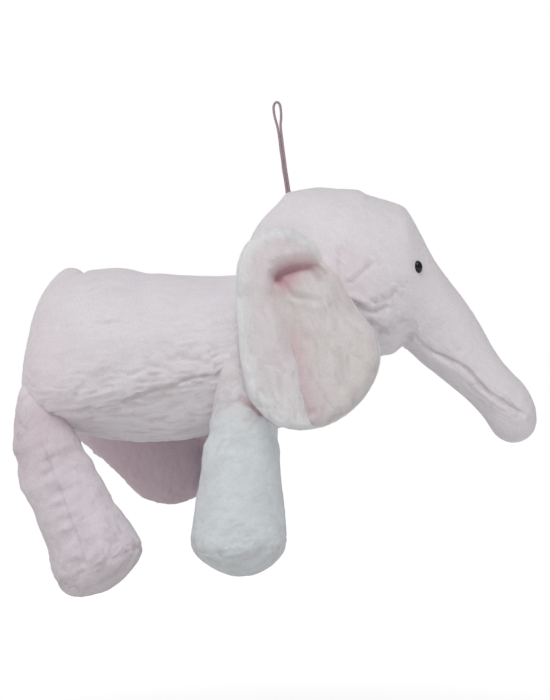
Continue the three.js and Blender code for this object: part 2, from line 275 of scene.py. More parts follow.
def loft(name, rows):
    """A closed skin through oval sections (top x, top z, bottom x, bottom z, half width, middle's y)."""
    rows = np.asarray(rows, float) * MM
    if rows.shape[1] == 5:
        rows = np.hstack([rows, np.zeros((len(rows), 1))])
    turned = rows[:, [2, 3, 0, 1, 4, 5]] * [1, 1, 1, 1, -1, 1]
    rows = np.vstack([turned[1], rows, turned[-2]])
    # a row holds the top line and the bottom line, so it moves about 4/3 as far as the skin runs
    rings = int(0.75 * path_length(smooth_through(rows, 400)) / GRID)
    around = int(2 * math.pi * rows[:, 4].max() / GRID)
    sections = smooth_through(rows, rings + 2)
    turn = np.linspace(0, 2 * math.pi, around, endpoint=False)
    centre = (sections[:, :2] + sections[:, 2:4]) / 2
    up = (sections[:, :2] - sections[:, 2:4]) / 2
    x = centre[:, :1] + up[:, :1] * np.cos(turn)
    z = centre[:, 1:] + up[:, 1:] * np.cos(turn)
    y = sections[:, 5:] + sections[:, 4:5] * np.sin(turn)
    body = np.stack([x, y, z], 2)
    points = np.vstack([body[0, 0], body[1:-1].reshape(-1, 3), body[-1, 0]])
    return new_mesh(name, points, grid_faces(rings, around))


# ---------------------------------------------------------------- pile
# How long each kind of unevenness is along the pile's lay, and how wide across it.
CLUMP = (0.0105, 0.0056, 0.0056)
STRAND = (0.0105, 0.0021, 0.0021)
WAVE = (0.015, 0.0058, 0.0058)
LICK = (0.0085, 0.0036, 0.0036)
PARTING = (0.009, 0.006, 0.006)
# How wide those that have no direction are.
SWAY = 0.011
PATCH = 0.021
STUFFING_LUMP = 0.034
STUFFING_DENT = 0.016
SWAY_REACH = 0.0028  # how far the tufts' lines wander
FULL_PILE = 0.8 * MM  # the tuft height that the material shows as its palest


def add_pile(piece, p, lay, seed, height, lumps=0.9 * MM, streaks=0.35, crease_shade=0.0):
    """Matted pile: tufts lying along lay, in p's own axes, over soft lumps of the stuffing.
    height is the tufts' height at each point, streaks how far they lie in lines, and the last, from
    0 to 1, is where painted shade goes into a seam or crease. The tufts' shape is kept for the material,
    which paints shade down between the low tufts."""
    along = np.asarray(lay, float) / np.linalg.norm(lay)
    aside = np.cross(along, [0.3, 1, 0.2])
    aside /= np.linalg.norm(aside)
    q = p @ np.stack([along, aside, np.cross(along, aside)], 1)
    q = q + np.stack([noise(q / SWAY, seed + k) for k in range(3)], 1) * SWAY_REACH
    clump = tufts(q / CLUMP, seed + 11)
    strand = noise(q / STRAND, seed + 31)
    wave = noise(q / WAVE, seed + 71)
    lick = noise(q / LICK, seed + 77)
    broken = ramp(noise(q / PARTING, seed + 81), -0.15, 0.4)
    parting = bell(lick + 0.35 * wave, 0.17) * broken
    patch = noise(p / PATCH, seed + 41)
    shape = 0.28 * clump + streaks * strand + 0.4 * wave + 0.35 * lick - 0.6 * parting
    soft = noise(p / STUFFING_LUMP, seed + 51) + 0.6 * noise(p / STUFFING_DENT, seed + 61)
    push(piece, shape * height * (1 + 0.5 * patch) + soft * lumps)
    # painted shade: low tufts and seams are marked for the material's darker root colour
    paint(piece, "pile", 0.5 + 0.5 * np.clip(shape * height / FULL_PILE, -1, 1) - 0.5 * crease_shade)


PUCKER_SPACING = 4.2 * MM
PUCKER_LENGTH = 20 * MM


def seam(p, path, width, depth, seed, pucker, reach):
    """A sewn line seen from the side: a groove, with puckers that run away from it as far as reach.
    Gives how far the skin stands out or in there, and the distance to the line."""
    gap, along, _ = nearest_on(path, p[:, 0], p[:, 2])
    share = along / path_length(path)
    fade = ramp(share, 0.0, 0.04) * ramp(share, 1.0, 0.96)
    # the last number keeps the two sides of the toy from puckering alike
    spots = np.stack([along / PUCKER_SPACING, gap / PUCKER_LENGTH, np.sign(p[:, 1]) * 3], 1)
    folds = noise(spots, seed) * np.exp(-gap / reach)
    return fade * (-depth * bell(gap, width) + pucker * folds), gap


# ---------------------------------------------------------------- materials
class Look:
    """A short way to write a material's nodes."""

    def __init__(self, name):
        self.material = bpy.data.materials.new(name)
        self.material.use_nodes = True
        self.tree = self.material.node_tree
        self.shader = self.tree.nodes["Principled BSDF"]

    def add(self, kind, settings=(), **inputs):
        node = self.tree.nodes.new(kind)
        for key, value in dict(settings).items():
            setattr(node, key, value)
        for key, value in inputs.items():
            self.set(node, key.replace("_", " "), value)
        return node

    def set(self, node, key, value):
        """Sets a socket, found by its name or its number, to a value or to another node's output."""
        socket = node.inputs[int(key)] if key.isdigit() else node.inputs[key]
        if isinstance(value, bpy.types.NodeSocket):
            self.tree.links.new(value, socket)
        else:
            socket.default_value = value

    def surface(self, **inputs):
        """Sets the shader's own values."""
        for key, value in inputs.items():
            self.set(self.shader, key.replace("_", " "), value)

    def place(self):
        return self.add("ShaderNodeTexCoord").outputs["Object"]

    def noise(self, place, scale, detail, **inputs):
        node = self.add("ShaderNodeTexNoise", Vector=place, Scale=scale, Detail=detail, **inputs)
        return node.outputs["Fac"]

    def painted(self, name):
        return self.add("ShaderNodeAttribute", {"attribute_name": name}).outputs["Fac"]

    def between(self, factor, low, high):
        """A colour between two, by a factor."""
        node = self.add("ShaderNodeMix", {"data_type": "RGBA"})
        for key, value in zip("067", (factor, low, high)):
            self.set(node, key, value)
        return node.outputs[2]

    def ranged(self, value, low, high, to_low=0.0, to_high=1.0):
        node = self.add("ShaderNodeMapRange")
        for key, number in zip("01234", (value, low, high, to_low, to_high)):
            self.set(node, key, number)
        return node.outputs[0]


def linear(value):
    """The light that a 0-255 screen value gives, from 0 to 1."""
    share = value / 255
    return share / 12.92 if share <= 0.04045 else ((share + 0.055) / 1.055) ** 2.4


def colour(*screen):
    """A colour from its red, green and blue screen values."""
    return (*[linear(value) for value in screen], 1)


def mixed(first, second, share):
    return tuple(a + (b - a) * share for a, b in zip(first, second))


def plush(name, tip, root, blush_and_shade, blush_share):
    """Pile fabric: pale tips, painted shade down between the low tufts and in seams, painted pink shade and
    pink blush where the mesh marks them, uneven dye, and fine fibres.
    """
    look = Look(name)
    place = look.place()
    drift = look.noise(place, 26.0, 3.0, Roughness=0.55)
    fibre = look.noise(place, 900.0, 3.0, Roughness=0.65)
    matting = look.noise(place, 230.0, 3.0, Roughness=0.6, Distortion=0.9)
    dyed = look.between(look.ranged(drift, 0.38, 0.66), tip, mixed(tip, blush_and_shade, blush_share))
    # painted shade: the darker root colour between the low tufts and in seams
    base = look.between(look.ranged(look.painted("pile"), 0.55, 0.05), dyed, root)
    # painted pink shade in creases, slits, under the torso and on the far leg, and pink blush, where the
    # mesh marks them
    base = look.between(look.painted("blush_and_shade"), base, blush_and_shade)
    speckle = look.ranged(fibre, 0.3, 0.7, 0.94, 1.05)
    grey = look.add("ShaderNodeCombineColor", Red=speckle, Green=speckle, Blue=speckle)
    speckled = look.add("ShaderNodeMix", {"data_type": "RGBA", "blend_type": "MULTIPLY"})
    for key, value in zip("067", (1.0, base, grey.outputs[0])):
        look.set(speckled, key, value)
    height = look.add("ShaderNodeMath", {"operation": "MULTIPLY_ADD"})
    for key, value in zip("012", (fibre, 0.6, matting)):
        look.set(height, key, value)
    bump = look.add("ShaderNodeBump", Strength=0.55, Distance=0.0012, Height=height.outputs[0])
    look.surface(
        Base_Color=speckled.outputs[2], Roughness=look.ranged(matting, 0.3, 0.7, 0.86, 0.98),
        Specular_IOR_Level=0.12, Sheen_Weight=0.2, Sheen_Roughness=0.5,
        Sheen_Tint=(1.0, 0.97, 0.98, 1), Normal=bump.outputs[0])
    return look.material


def satin_cord():
    look = Look("satin_cord")
    thread = look.noise(look.place(), 1500.0, 2.0)
    shade = look.ranged(thread, 0.35, 0.65)
    bump = look.add("ShaderNodeBump", Strength=0.4, Distance=0.0003, Height=thread)
    look.surface(
        Base_Color=look.between(shade, colour(146, 120, 132), colour(180, 156, 167)),
        Roughness=look.ranged(thread, 0.3, 0.7, 0.42, 0.62), Sheen_Weight=0.2, Normal=bump.outputs[0])
    return look.material


def black_bead():
    look = Look("black_bead")
    haze = look.noise(look.place(), 420.0, 3.0)
    look.surface(
        Base_Color=look.between(haze, colour(14, 15, 19), colour(24, 25, 31)),
        Roughness=look.ranged(haze, 0.3, 0.7, 0.16, 0.3), Specular_IOR_Level=0.3,
        Coat_Weight=0.2, Coat_Roughness=0.08)
    return look.material


def clear_washer():
    look = Look("clear_washer")
    haze = look.noise(look.place(), 300.0, 2.0)
    look.surface(
        Base_Color=look.between(haze, colour(205, 205, 200), colour(228, 228, 222)),
        Roughness=look.ranged(haze, 0.3, 0.7, 0.3, 0.5))
    return look.material


# Each pile's tips, its root colour that is painted as shade between the tufts, its colour for blush and
# painted pink shade, and how far the uneven dye goes towards that colour.
PALE = plush("plush_pale", colour(237, 233, 237), colour(223, 215, 218), colour(232, 216, 222), 0.2)
LEG_WHITE = plush(
    "plush_leg_white", colour(232, 238, 240), colour(214, 211, 212), colour(222, 190, 195), 0.03)
LEG_PINK = plush(
    "plush_leg_pink", colour(238, 231, 237), colour(215, 202, 208), colour(216, 194, 202), 0.15)
EAR_WHITE = plush(
    "plush_ear_back", colour(237, 237, 238), colour(217, 213, 214), colour(212, 188, 191), 0.06)
EAR_WARM = plush(
    "plush_ear_lining", colour(227, 223, 221), colour(207, 199, 198), colour(212, 175, 184), 0.15)
LOOP_PINK = satin_cord()
BLACK = black_bead()
WASHER = clear_washer()

# ---------------------------------------------------------------- camera, light and floor
MIDDLE = Vector((-1.4, 0, -179.3)) * MM
CAMERA_BACK = 1.3
VIEW_HEIGHT = 0.504  # what the picture's long side shows, in the elephant's middle plane
SENSOR = 36.0  # millimetres
LIGHTS = [
    # (name, place, width, watts)
    ("key", (-0.25, -0.95, 1.1), 0.9, 10.9),
    ("fill", (1.1, -0.7, 0.25), 0.9, 0.3),
    ("back_left", (-0.8, 1.1, 0.6), 1.0, 4),
]
AMBIENT = {"From Min": -0.5, "From Max": 0.9, "To Min": 0.02, "To Max": 0.42}  # brighter overhead
FLOOR_HEIGHT = -0.50
FLOOR_HALF = 12.0


def camera():
    data = bpy.data.cameras.new("camera")
    data.sensor_width = SENSOR
    data.lens = SENSOR * CAMERA_BACK / VIEW_HEIGHT
    holder = bpy.data.objects.new("camera", data)
    holder.location = MIDDLE + Vector((0, -CAMERA_BACK, 0))
    holder.rotation_euler = (math.radians(90), 0, 0)
    bpy.context.scene.collection.objects.link(holder)
    bpy.context.scene.camera = holder


def area_light(name, place, width, watts):
    """A square lamp that faces the elephant."""
    data = bpy.data.lights.new(name, "AREA")
    data.shape = "SQUARE"
    data.size = width
    data.energy = watts
    light = bpy.data.objects.new(name, data)
    light.location = place
    light.rotation_euler = (MIDDLE - Vector(place)).to_track_quat("-Z", "Y").to_euler()
    bpy.context.scene.collection.objects.link(light)


def surroundings():
    """A white backdrop to look at, and a softer light from all round to light the elephant."""
    world = bpy.data.worlds.new("studio")
    bpy.context.scene.world = world
    world.use_nodes = True
    nodes, links = world.node_tree.nodes, world.node_tree.links
    backdrop = nodes["Background"]
    backdrop.inputs["Color"].default_value = (1, 1, 1, 1)
    backdrop.inputs["Strength"].default_value = 1.0
    ambient = nodes.new("ShaderNodeBackground")
    ambient.inputs["Color"].default_value = (0.96, 0.98, 1.0, 1)
    sky = nodes.new("ShaderNodeTexCoord")
    split = nodes.new("ShaderNodeSeparateXYZ")
    height = nodes.new("ShaderNodeMapRange")
    links.new(sky.outputs["Generated"], split.inputs[0])
    links.new(split.outputs["Z"], height.inputs["Value"])
    for key, value in AMBIENT.items():
        height.inputs[key].default_value = value
    links.new(height.outputs[0], ambient.inputs["Strength"])
    seen = nodes.new("ShaderNodeLightPath")
    mix = nodes.new("ShaderNodeMixShader")
    links.new(seen.outputs["Is Camera Ray"], mix.inputs[0])
    links.new(ambient.outputs[0], mix.inputs[1])
    links.new(backdrop.outputs[0], mix.inputs[2])
    links.new(mix.outputs[0], nodes["World Output"].inputs["Surface"])
    bpy.context.scene.view_settings.view_transform = "Standard"


def studio_floor():
    """A wide sheet that glows, painted light, and fades into the backdrop. Seen, it is paler than the light
    it gives back.
    """
    mesh = bpy.data.meshes.new("floor")
    square = ((-1, -1), (1, -1), (1, 1), (-1, 1))
    corners = [(x * FLOOR_HALF, y * FLOOR_HALF, FLOOR_HEIGHT) for x, y in square]
    mesh.from_pydata(corners, [], [(0, 1, 2, 3)])
    floor = bpy.data.objects.new("floor", mesh)
    bpy.context.scene.collection.objects.link(floor)
    look = Look("glowing_floor")
    away = look.add("ShaderNodeVectorMath", {"operation": "LENGTH"})
    look.set(away, "0", look.place())
    # painted light: the glow it gives off and the glow it shows, both by the distance from the floor's
    # middle
    given = look.ranged(away.outputs["Value"], 0.35, 0.9, 0.0, 0.9)
    shown = look.ranged(away.outputs["Value"], 0.0, 0.8, 0.4, 0.95)
    ray = look.add("ShaderNodeLightPath").outputs["Is Camera Ray"]
    strength = look.add("ShaderNodeMix", {"data_type": "FLOAT"})
    for key, value in zip("023", (ray, given, shown)):
        look.set(strength, key, value)
    look.surface(
        Base_Color=(0.2, 0.2, 0.2, 1), Roughness=0.9, Emission_Color=(1, 1, 1, 1),
        Emission_Strength=strength.outputs[0])
    mesh.materials.append(look.material)
# ---------------------------------------------------------------- hanging loop
CORD = 1.8 * MM
LOOP_ROUTE = [
    (7.3, -67.4), (6.6, -61.9), (5.6, -55.4), (4.5, -49), (3.8, -42.5), (2.8, -36), (2.1, -29.5),
    (1.2, -23), (0.1, -17.6), (-1.4, -12.2), (-2.2, -7.9), (-2.4, -4.4), (-1.6, -1.9), (0, -0.9),
    (1.6, -1.9), (2.5, -4.4), (2.9, -7.9), (3.0, -12.2), (2.6, -17.6), (3.1, -23), (3.9, -29.5),
    (4.7, -36), (5.6, -42.5), (6.4, -49), (7.4, -55.4), (8.4, -61.9), (9.2, -66.6),
]
ROUTE_STEPS = 420
CORD_SIDES = 18
CORD_PLIES = 3
PLY_TURN = 5.5 * MM  # length of one twist


def cord_loop():
    """A cord of three plies twisted together, along the loop's route."""
    route = line(LOOP_ROUTE, ROUTE_STEPS)
    path = np.stack([route[:, 0], np.zeros(len(route)), route[:, 1]], 1)
    along = np.gradient(path, axis=0)
    along /= np.linalg.norm(along, axis=1)[:, None]
    aside = np.array([0.0, 1.0, 0.0])
    out = np.cross(along, aside)
    run = np.concatenate([[0], np.cumsum(np.linalg.norm(np.diff(path, axis=0), axis=1))])
    turn = np.linspace(0, 2 * math.pi, CORD_SIDES, endpoint=False)
    twist = turn[None, :] - 2 * math.pi * run[:, None] / PLY_TURN
    # full at the middle of each ply, and drawn in where two plies meet
    radius = CORD / 2 * (0.92 + 0.15 * np.abs(np.cos(CORD_PLIES * twist / 2)))
    rings = (
        path[:, None]
        + radius[:, :, None] * np.cos(turn)[None, :, None] * out[:, None]
        + radius[:, :, None] * np.sin(turn)[None, :, None] * aside
    )
    points = np.vstack([path[:1], rings.reshape(-1, 3), path[-1:]])
    loop = new_mesh("cord_loop", points, grid_faces(len(path), CORD_SIDES))
    loop.data.materials.append(LOOP_PINK)
    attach(loop, "head")
    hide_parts("hanging_loop")


# ---------------------------------------------------------------- torso
TORSO = [
    (-177, -190, -177, -190, 0), (-174.5, -163, -177.5, -213, 30), (-167.5, -139, -171, -228, 46),
    (-155, -123.5, -157, -237, 54.5), (-134, -121.5, -134, -242, 58.5), (-104, -122, -104, -244.5, 60),
    (-72, -125, -72, -243.8, 60), (-40, -125.5, -40, -238.5, 58), (-14, -125, -14, -237, 56),
    (5.2, -128.4, 5.2, -233.6, 52.6), (22, -138.1, 22, -223.9, 42.9), (34.5, -153, 34.5, -209, 28),
    (42, -181, 42, -181, 0),
]
BELLY_SEAM = line([
    (-183, -222), (-168, -223), (-152.5, -222), (-128.8, -220.6), (-109.1, -216.2), (-93.2, -209.6),
    (-72.3, -204.1), (-59.2, -198.4), (-43.4, -195.8), (-10, -192), (30, -190),
], 60)
HAUNCH = (-159, -211)  # where each side swells most
# Across the back, lumps and dents: (x, half length, half width, height).
BACK_RELIEF = [
    (-149, 7, 26, 1.6), (-138.5, 2.6, 14, -3.0), (-115, 14, math.inf, 1.5), (-93, 8, math.inf, -1.2),
]


def torso_relief(p, gap):
    """How far the torso's skin stands out or in: its seams, its folds and its drag lines."""
    x, y, z = p.T
    _, _, over = nearest_on(BELLY_SEAM, x, z)
    # the side panel bulges over the seam, and the belly panel turns in under it
    relief = 1.3 * MM * bell(gap - 6 * MM, 8 * MM) * (over > 0)
    relief -= 2.4 * MM * ramp(gap, 0, 15 * MM) * ramp(gap, 30 * MM, 17 * MM) * (over < 0)
    # the seam along the spine, and the dimple and hollows of the back
    back = z > -160 * MM
    relief += np.where(back, -0.9 * MM * bell(y, 1.6 * MM), 0)
    for at, long, wide, height in BACK_RELIEF:
        relief += np.where(back, height * MM * bell(x - at * MM, long * MM) * bell(y, wide * MM), 0)
    # long soft drag lines from the seam towards the shoulder
    drag = noise(np.stack([x / 0.045, y / 0.05, (z - 0.2 * x) / 0.0065], 1), 71)
    return relief + 1.1 * MM * drag * bell(gap - 9 * MM, 14 * MM) * ramp(x, -150 * MM, -110 * MM)


def torso():
    piece = loft("torso_cover", TORSO)
    p = points_of(piece)
    # haunches: the side swells to meet the top of each hind leg
    haunch = bell(np.hypot(p[:, 0] - HAUNCH[0] * MM, p[:, 2] - HAUNCH[1] * MM), 28 * MM)
    haunch *= ramp(np.abs(p[:, 1]), 4 * MM, 26 * MM)
    p[:, 1] += np.sign(p[:, 1]) * 15 * MM * haunch
    p[:, 0] -= 3 * MM * haunch * ramp(p[:, 0], -160 * MM, -176 * MM)
    p[:, 2] -= 1 * MM * haunch
    set_points(piece, p)
    x, _, z = p.T
    sewn, gap = seam(p, BELLY_SEAM, 1.1 * MM, 1.9 * MM, 3, pucker=1.5 * MM, reach=8 * MM)
    chest = ramp(x, -5 * MM, 20 * MM)  # the seam and the pile lie calmer there
    push(piece, sewn * (1 - 0.7 * chest) + torso_relief(p, gap))
    near_seam = bell(gap, 22 * MM)
    low = ramp(z, -170 * MM, -215 * MM)
    forward = ramp(x, -175 * MM, -110 * MM)
    height = (0.15 + np.maximum(near_seam, 0.65 * low) * (0.5 + 0.5 * forward)) * MM * (1 - 0.6 * chest)
    # painted shade along the belly seam
    add_pile(piece, p, (1, 0, 0.16), 5, height, streaks=0.95, crease_shade=bell(gap, 1.4 * MM))
    paint(piece, "blush_and_shade", 0.35 * ramp(x, -130 * MM, -180 * MM) + 0.25 * haunch)
    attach(piece, "torso")
    dress(piece, PALE, "plush_pale", 0.75,
          "torso_panel_right", "torso_panel_left", "belly_panel", "torso_stuffing")


# ---------------------------------------------------------------- head and trunk
TRUNK_ROOT = HINGES["trunk"]
TRUNK_DOWN = math.radians(52.6)
HEAD = [
    (-22, -118, -22, -118, 0), (-19.5, -100, -18, -138, 24), (-10, -85, -8, -154, 39),
    (9, -68.3, 12, -171, 51), (27, -62.6, 34, -181, 55.5), (44, -63.3, 56, -185, 55),
    (57.5, -64.6, 69, -184.7, 52), (65, -68.4, 76, -184, 49.5), (79, -71.8, 83, -182, 45),
    (89.5, -75.5, 87.5, -179, 41.5), (94.5, -80.5, 89.5, -177.2, 39.2), (103, -97, 90, -176.8, 35.5),
    (114, -116, 91, -177, 31), (125, -131, 93, -178.5, 28),
]
# Along the trunk's own axis from its root: [along, top, bottom, half width].
TRUNK = [
    (6, 28, -25.2, 25), (25, 26, -21.8, 22), (50, 23.8, -15.8, 19.5), (64, 24, -13.2, 19),
    (77, 25, -11.9, 18.3), (91, 23, -12.3, 16.8), (100, 18.5, -9.5, 14), (105.5, 12.5, -3.5, 9.5),
    (107.6, 4.5, 4.5, 0),
]
TRUNK_SEAM = [(-0.6, -17.5), (13.2, -14.6), (25.1, -8.5), (35.1, -3.6), (43.3, -1.0), (61.4, 0.4),
              (74.9, 5.3), (90.3, 11.4)]
CHEEK_FOLDS = [
    # (path, width, depth)
    (line([(52, -146), (56.2, -148), (63.2, -151.4), (70, -151.8), (76, -149.5)]), 1.5, 3.0),
    (line([(66, -146), (74, -145.5), (80, -141.5), (86, -135.5)]), 1.8, 1.5),
    (line([(64, -160), (70, -163.9), (79.7, -164.6), (87, -157)]), 1.6, 2.4),
    (line([(43.9, -110), (44.6, -119), (45, -128)]), 2.2, 1.3),
    (line([(50, -132), (53.3, -131.5), (56.8, -128.1), (66.4, -119.8)]), 1.6, 1.2),
    (line([(60, -158), (66, -160), (72, -158.5)]), 1.5, 0.8),
]
CHIN_CREASE = line([(86, -181), (91, -175), (94.8, -169.1), (98, -163.5)])
JOWL = (74, -156.5)  # the soft lump between the cheek folds
CHEEK_PINK_SHADE = [(55, -140, 14), (46, -121, 13)]  # (x, z, width) of painted pink shade round the ear's front
KNOT_AT = 8.3 * MM  # where the loop's two ends go into the crown


def from_trunk(along, above):
    """A point of the trunk's side view, in millimetres, from its own axis."""
    c, s = math.cos(TRUNK_DOWN), math.sin(TRUNK_DOWN)
    return (TRUNK_ROOT[0] / MM + along * c + above * s, TRUNK_ROOT[2] / MM - along * s + above * c)


def trunk_seam_relief(p):
    """The seam along the trunk's side with a soft roll under it, and the distance to the seam."""
    x, y, z = p.T
    path = line([from_trunk(along, above) for along, above in TRUNK_SEAM])
    sewn, gap = seam(p, path, 1.3 * MM, 1.9 * MM, 13, pucker=0.8 * MM, reach=6 * MM)
    _, _, over = nearest_on(path, x, z)
    sewn += 1.1 * MM * bell(gap - 4.2 * MM, 2.6 * MM) * (over < 0) * ramp(x, 100 * MM, 118 * MM)
    return sewn * ramp(np.abs(y), 4 * MM, 9 * MM), gap


def fold_relief(p, side):
    """The folds of the cheek, each with a lip over it, the crease at the chin, and where they are."""
    x, y, z = p.T
    relief = np.zeros(len(p))
    folded = np.zeros(len(p))
    for path, width, depth in CHEEK_FOLDS:
        gap, along, over = nearest_on(path, x, z)
        lip = 0.55 * depth * bell(gap - 2.4 * width * MM, 1.8 * width * MM) * (over > 0)
        fade = 1 - 0.75 * ramp(along, 8 * MM, 30 * MM)
        relief += side * fade * MM * (lip - depth * bell(gap, width * MM))
        folded = np.maximum(folded, bell(gap, 7 * MM))
    gap, along, _ = nearest_on(CHIN_CREASE, x, z)
    beside = ramp(np.abs(y), 8 * MM, 24 * MM)
    relief -= 4.6 * MM * beside * bell(gap, 2.3 * MM) * ramp(along, 21 * MM, 7 * MM)
    return relief, np.maximum(folded, 0.7 * bell(gap, 8 * MM))


def head_and_trunk():
    sections = [(*from_trunk(along, top), *from_trunk(along, low), half) for along, top, low, half in TRUNK]
    piece = loft("head_cover", HEAD + sections)
    p = points_of(piece)
    x, y, z = p.T
    side = ramp(np.abs(y), 8 * MM, 16 * MM)
    sewn, trunk_gap = trunk_seam_relief(p)
    folds, folded = fold_relief(p, side)
    jowl = np.hypot(x - JOWL[0] * MM, (z - JOWL[1] * MM) * 1.3)
    sewn += folds + side * 1.8 * MM * bell(jowl, 8 * MM)
    # the seam along the crown and the top of the trunk
    top = (z > -140 * MM) | (x > 100 * MM)
    sewn += np.where(top, -0.7 * MM * bell(y, 1.5 * MM), 0)
    # the fabric is drawn up round the loop's ends
    knot = bell(np.hypot(x - KNOT_AT, y), 4.5 * MM) * (z > -90 * MM)
    sewn += 2.5 * MM * knot
    push(piece, sewn)
    trunk_part = ramp(x, 100 * MM, 125 * MM)
    chin = ramp(z, -150 * MM, -178 * MM) * (1 - trunk_part)
    beneath = ramp(trunk_gap, 16 * MM, 3 * MM) * trunk_part
    height = (0.15 + 0.75 * np.maximum(folded * side, np.maximum(0.5 * chin, 0.6 * beneath))) * MM
    # painted shade along the trunk's seam
    crease_shade = bell(trunk_gap, 1.4 * MM) * side * trunk_part
    add_pile(piece, p, (0.75, 0, -0.66), 7, height, streaks=0.5, crease_shade=crease_shade)
    # painted pink shade on the cheek round the ear's front
    cheek_shade = sum(bell(np.hypot(x - ax * MM, z - az * MM), wide * MM) for ax, az, wide in CHEEK_PINK_SHADE)
    paint(piece, "blush_and_shade", np.maximum(0.7 * knot, 0.5 * side * np.clip(cheek_shade, 0, 1)))
    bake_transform(piece)
    dress(piece, PALE, "plush_pale", 0.8,
          "head_panel_right", "head_panel_left", "head_stuffing", "trunk_panel_right",
          "trunk_panel_left", "trunk_under_panel", "trunk_stuffing")
    return piece


# ---------------------------------------------------------------- eyes
EYE = {"half_width": 3.2 * MM, "half_height": 4.4 * MM, "depth": 2.6 * MM}
EYE_AT = (99 * MM, -121 * MM)
EYE_OUT = 0.3 * MM  # how far the bead's middle stands off the fabric
WELL_OUTSIDE = 0.2
EYE_RINGS = 22
EYE_SIDES = 32


def eyes(head):
    """Two oval beads, each set square on the fabric where it is sewn in."""
    tilt = np.linspace(0, math.pi, EYE_RINGS + 2)
    turn = np.linspace(0, 2 * math.pi, EYE_SIDES, endpoint=False)
    ball = np.stack([
        np.sin(tilt)[:, None] * np.cos(turn) * EYE["half_width"],
        np.sin(tilt)[:, None] * np.sin(turn) * EYE["half_height"],
        np.cos(tilt)[:, None] * np.ones(EYE_SIDES) * EYE["depth"],
    ], 2)
    points = np.vstack([ball[0, 0], ball[1:-1].reshape(-1, 3), ball[-1, 0]])
    skin = BVHTree.FromPolygons(points_of(head).tolist(), [tuple(f.vertices) for f in head.data.polygons])
    for name, sign in SIDES.items():
        outside = Vector((EYE_AT[0], sign * WELL_OUTSIDE, EYE_AT[1]))
        hit, normal, _, _ = skin.ray_cast(outside, Vector((0, -sign, 0)))
        out = normal.normalized()
        up = (Vector((0, 0, 1)) - out * out.z).normalized()
        place = np.array([up.cross(out), up, out])
        centre = np.array(hit) + np.array(out) * EYE_OUT
        bead = new_mesh(f"eye_{name}", points @ place + centre, grid_faces(EYE_RINGS, EYE_SIDES))
        bead.data.materials.append(BLACK)
        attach(bead, "head")
        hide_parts(f"eye_bead_{name}")


# ---------------------------------------------------------------- legs
# Down the leg from its hip: (down, back, front, half width, outwards).
FRONT_LEG = [
    (-40, -2, -2, 0, 9), (-37, -8.5, 5, 6, 8), (-29, -12.3, 10, 11, 6.5), (-16, -16.4, 15, 17, 4),
    (-3, -18, 19, 21.5, 1.5), (10, -19.5, 21.5, 24, 0), (23, -22, 24.3, 25, 0), (36, -25.3, 26.5, 26, 0),
    (50, -26.9, 27.6, 27.3, 0), (63, -28, 29, 28.3, 0), (76, -30.8, 30.5, 30, 0), (90, -32.8, 32.2, 32, 0),
    (101, -33.5, 32.2, 32.8, 0), (108, -30.5, 29.3, 30.5, 0), (114.5, -24.5, 24, 25, 0),
    (119.7, -16.5, 17, 18, 0), (123, -8.5, 9.5, 9, 0), (124, 0.5, 0.5, 0, 0),
]
HIND_LEG = [
    (-33, -5, -5, 0, 7), (-30, -9, 0, 8, 7), (-22, -14.5, 5, 15, 5), (-13, -19.5, 9, 19, 3),
    (-4, -23.3, 12, 20.5, 1.5), (6, -27.8, 15, 21.5, 0.5), (18, -29.8, 16.6, 23.5, 0.5),
    (30, -32, 18.2, 24.5, 0), (42, -33.6, 20.8, 26.3, 0), (52, -31, 22, 27.2, 0),
    (66, -31, 23.8, 28.5, 0), (78, -30.6, 27.3, 30, 0), (90, -32, 30.5, 32, 0), (101, -33, 31.8, 32.8, 0),
    (108, -32.2, 28.6, 31, 0), (114.5, -29, 21, 26.5, 0), (119.3, -22.5, 12, 19, 0),
    (122, -14.5, 2, 9.5, 0), (122.8, -6, -6, 0, 0),
]
FAR_LEG = [
    (-19, 0, 0, 0, 0), (-17, -9, 9, 9, 0), (-9, -15.5, 15.5, 15.5, 0), (8, -17.8, 19, 20, 0),
    (26, -18.6, 22, 22, 0), (45, -21.5, 26, 24.5, 0), (65, -27, 30, 27.5, 0), (83, -31.7, 33.5, 31, 0),
    (95, -33.6, 33.8, 32.8, 0), (105, -32, 34.6, 32.4, 0), (114, -28, 33.4, 30, 0), (121.5, -21, 27, 25, 0),
    (126.5, -12, 17.5, 15.5, 0), (128.5, 1, 1, 0, 0),
]
SOLE_SEAM = 103.5 * MM
SOLE_TILT = 1.5 * MM  # the sole's seam is that much higher at the front of the foot
SOLE_PUCKERS = 6.5  # how close together they are round the seam
LEG_SEAM = -6 * MM  # where the tube's own seam runs, behind the leg's axis
OUT_OF_REACH = 0.1  # further from the tube's seam than its relief goes
GATHER = line([(2, 0), (6, -3), (11, -5.5), (15.5, -9.5)])
LEGS = {
    # (sections, degrees forward, degrees outward)
    "front_right": (FRONT_LEG, 0, 0),
    "front_left": (FRONT_LEG, 0, 0),
    "hind_right": (HIND_LEG, 21, 3),
    "hind_left": (FAR_LEG, 59, 26),
}


def sole_relief(x, y, gap, hind, seed):
    """The sole is a disc sewn into the tube: its seam pulls in a little, with small puckers."""
    turn = np.arctan2(y, x)
    ring = np.stack([np.cos(turn) * SOLE_PUCKERS, np.sin(turn) * SOLE_PUCKERS, gap / (12 * MM)], 1)
    depth = (0.5 if hind else 0.25) * MM
    return -depth * bell(gap, 1.6 * MM) + 0.9 * MM * noise(ring, seed) * np.exp(-gap / (9 * MM))


def tube_seam_relief(x, y, down, sign, hind, seed):
    """The tube's own seam, down the outer side, gathers the pile."""
    inner_side = np.sign(y) != sign
    beside = np.hypot(x - LEG_SEAM, inner_side * OUT_OF_REACH)
    groove = bell(beside, 1.6 * MM) * ramp(down, 8 * MM, 20 * MM) * ramp(down, 106 * MM, 98 * MM)
    pulls = noise(np.stack([x / 0.013, np.zeros(len(x)), down / 0.0048], 1), seed)
    pull = (2.0 if hind else 0.6) * MM
    return -pull * groove + pull * pulls * bell(beside, 8 * MM) * ramp(down, 5 * MM, 25 * MM)


